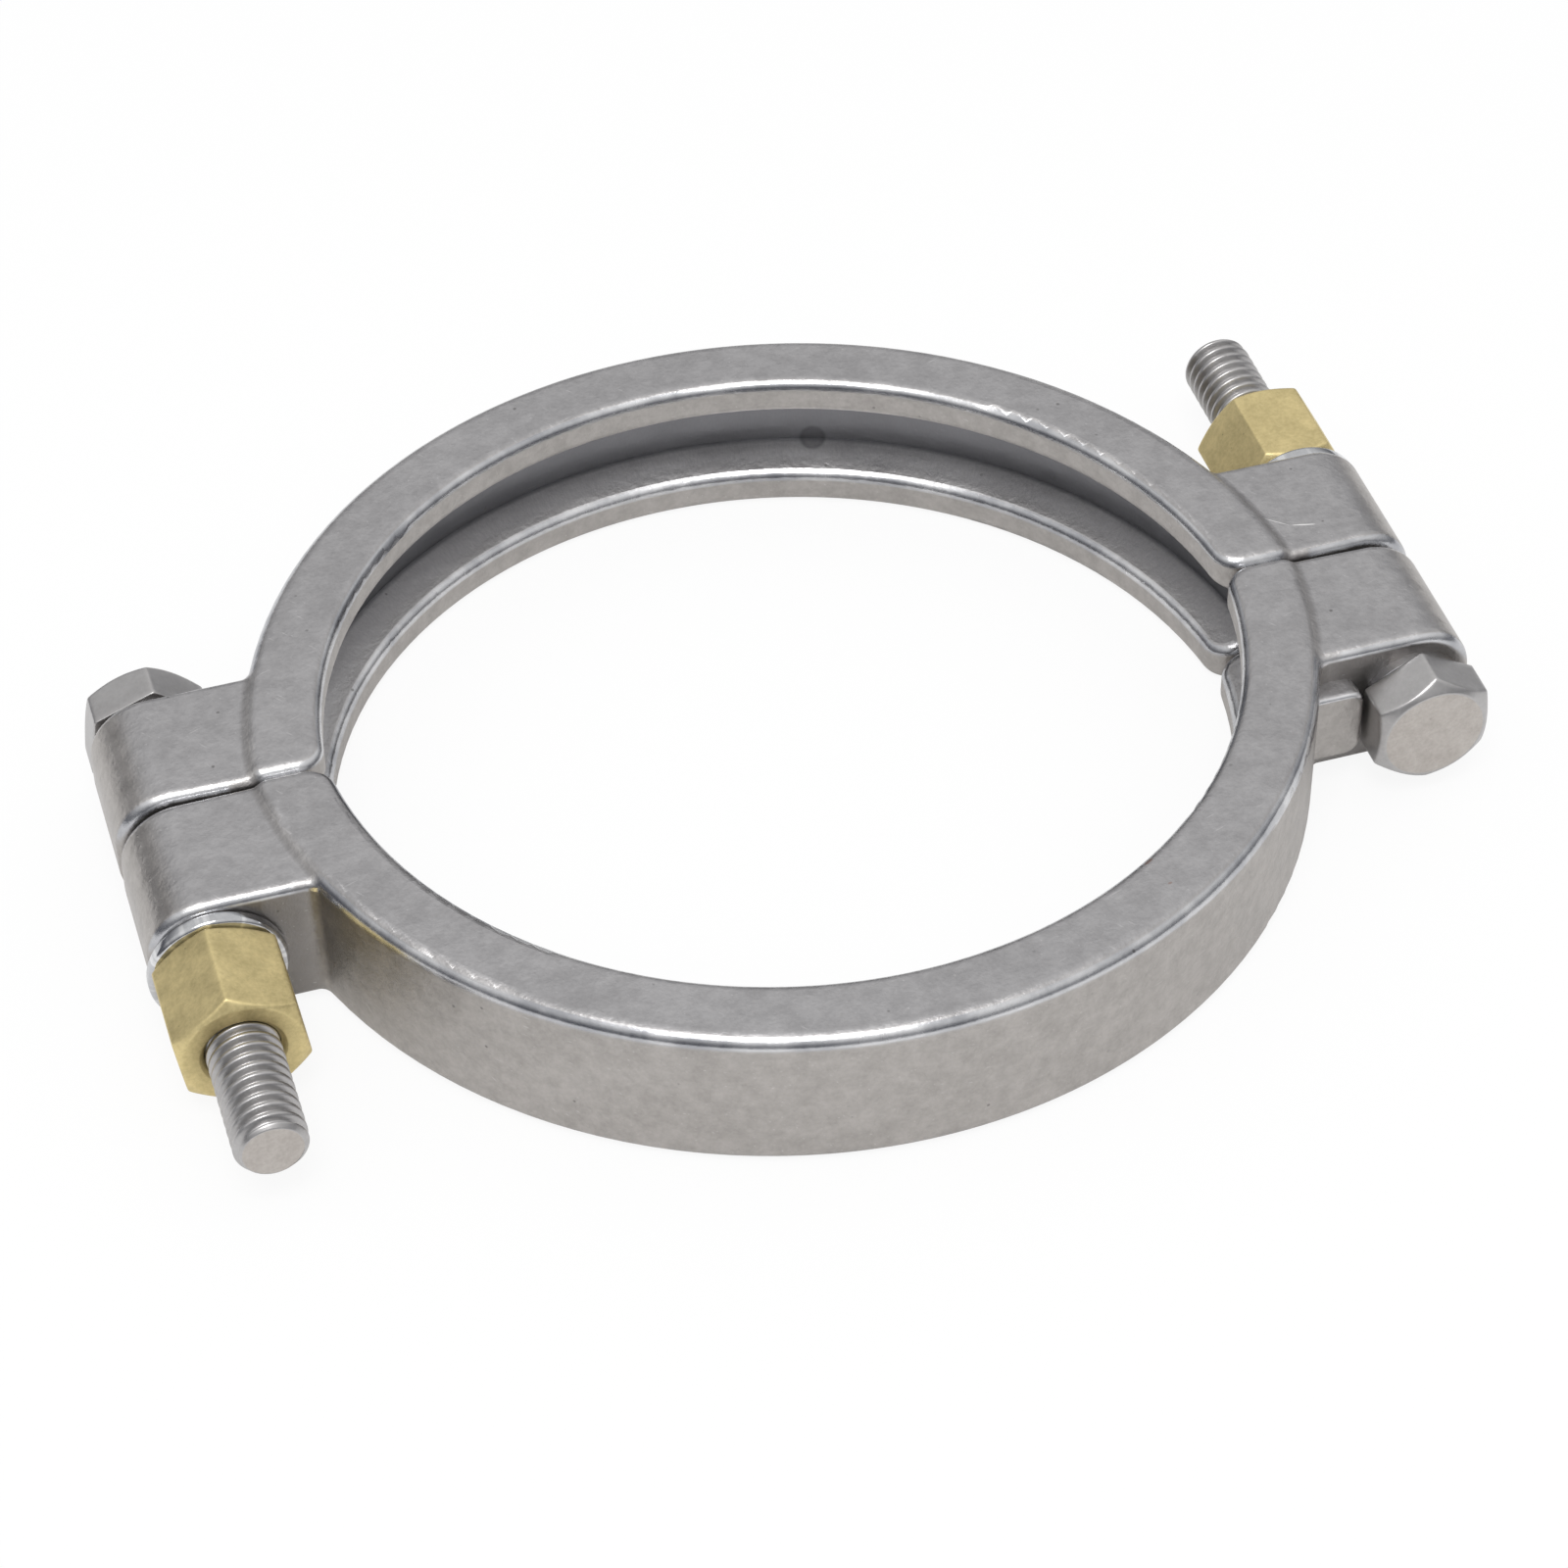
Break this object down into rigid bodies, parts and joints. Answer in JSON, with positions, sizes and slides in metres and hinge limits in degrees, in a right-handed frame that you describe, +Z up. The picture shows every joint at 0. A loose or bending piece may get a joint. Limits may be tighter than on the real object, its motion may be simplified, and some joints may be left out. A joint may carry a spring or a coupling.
{
  "type": "two-bolt sanitary pipe clamp",
  "caption": "Two equal half rings with a V-groove inside, drawn together over a ferrule joint by a bolt and nut through the lugs at each side.",
  "frame": {"origin": "on the ring axis at the underside of the ring, halfway between the two bolts", "axes": "+Z up along the pipe axis, +X from the left lugs to the right lugs, +Y along the bolts to the rear half"},
  "size_m": [0.1486, 0.111, 0.018],
  "materials": {
    "cast_steel": "tumbled cast stainless steel with polished edges",
    "bolt_steel": "rolled stainless steel",
    "washer_steel": "bright stainless steel",
    "nut_brass": "plain dull brass"
  },
  "bodies": {
    "rear_clamp": {"rear_half": "cast_steel", "left_bolt": "bolt_steel", "right_washer": "washer_steel"},
    "front_clamp": {"front_half": "cast_steel", "right_bolt": "bolt_steel", "left_washer": "washer_steel"},
    "left_nut": {"left_nut": "nut_brass"},
    "right_nut": {"right_nut": "nut_brass"}
  },
  "joints": [
    {"name": "clamp_opening", "type": "slide", "parent": "rear_clamp", "child": "front_clamp", "axis": [0, -1, 0], "range_m": [0, 0.0127]},
    {"name": "left_nut_turn", "type": "hinge", "parent": "front_clamp", "child": "left_nut", "pos_m": [-0.0667, -0.0241, 0.009], "axis": [0, -1, 0], "range_deg": [0, 3240]},
    {"name": "right_nut_turn", "type": "hinge", "parent": "rear_clamp", "child": "right_nut", "pos_m": [0.0667, 0.0241, 0.009], "axis": [0, 1, 0], "range_deg": [0, 3240]}
  ],
  "couplings": [
    {"joint": "left_nut_turn", "follows": "clamp_opening", "rad_per_m": 4452.6},
    {"joint": "right_nut_turn", "follows": "clamp_opening", "rad_per_m": 4452.6}
  ]
}
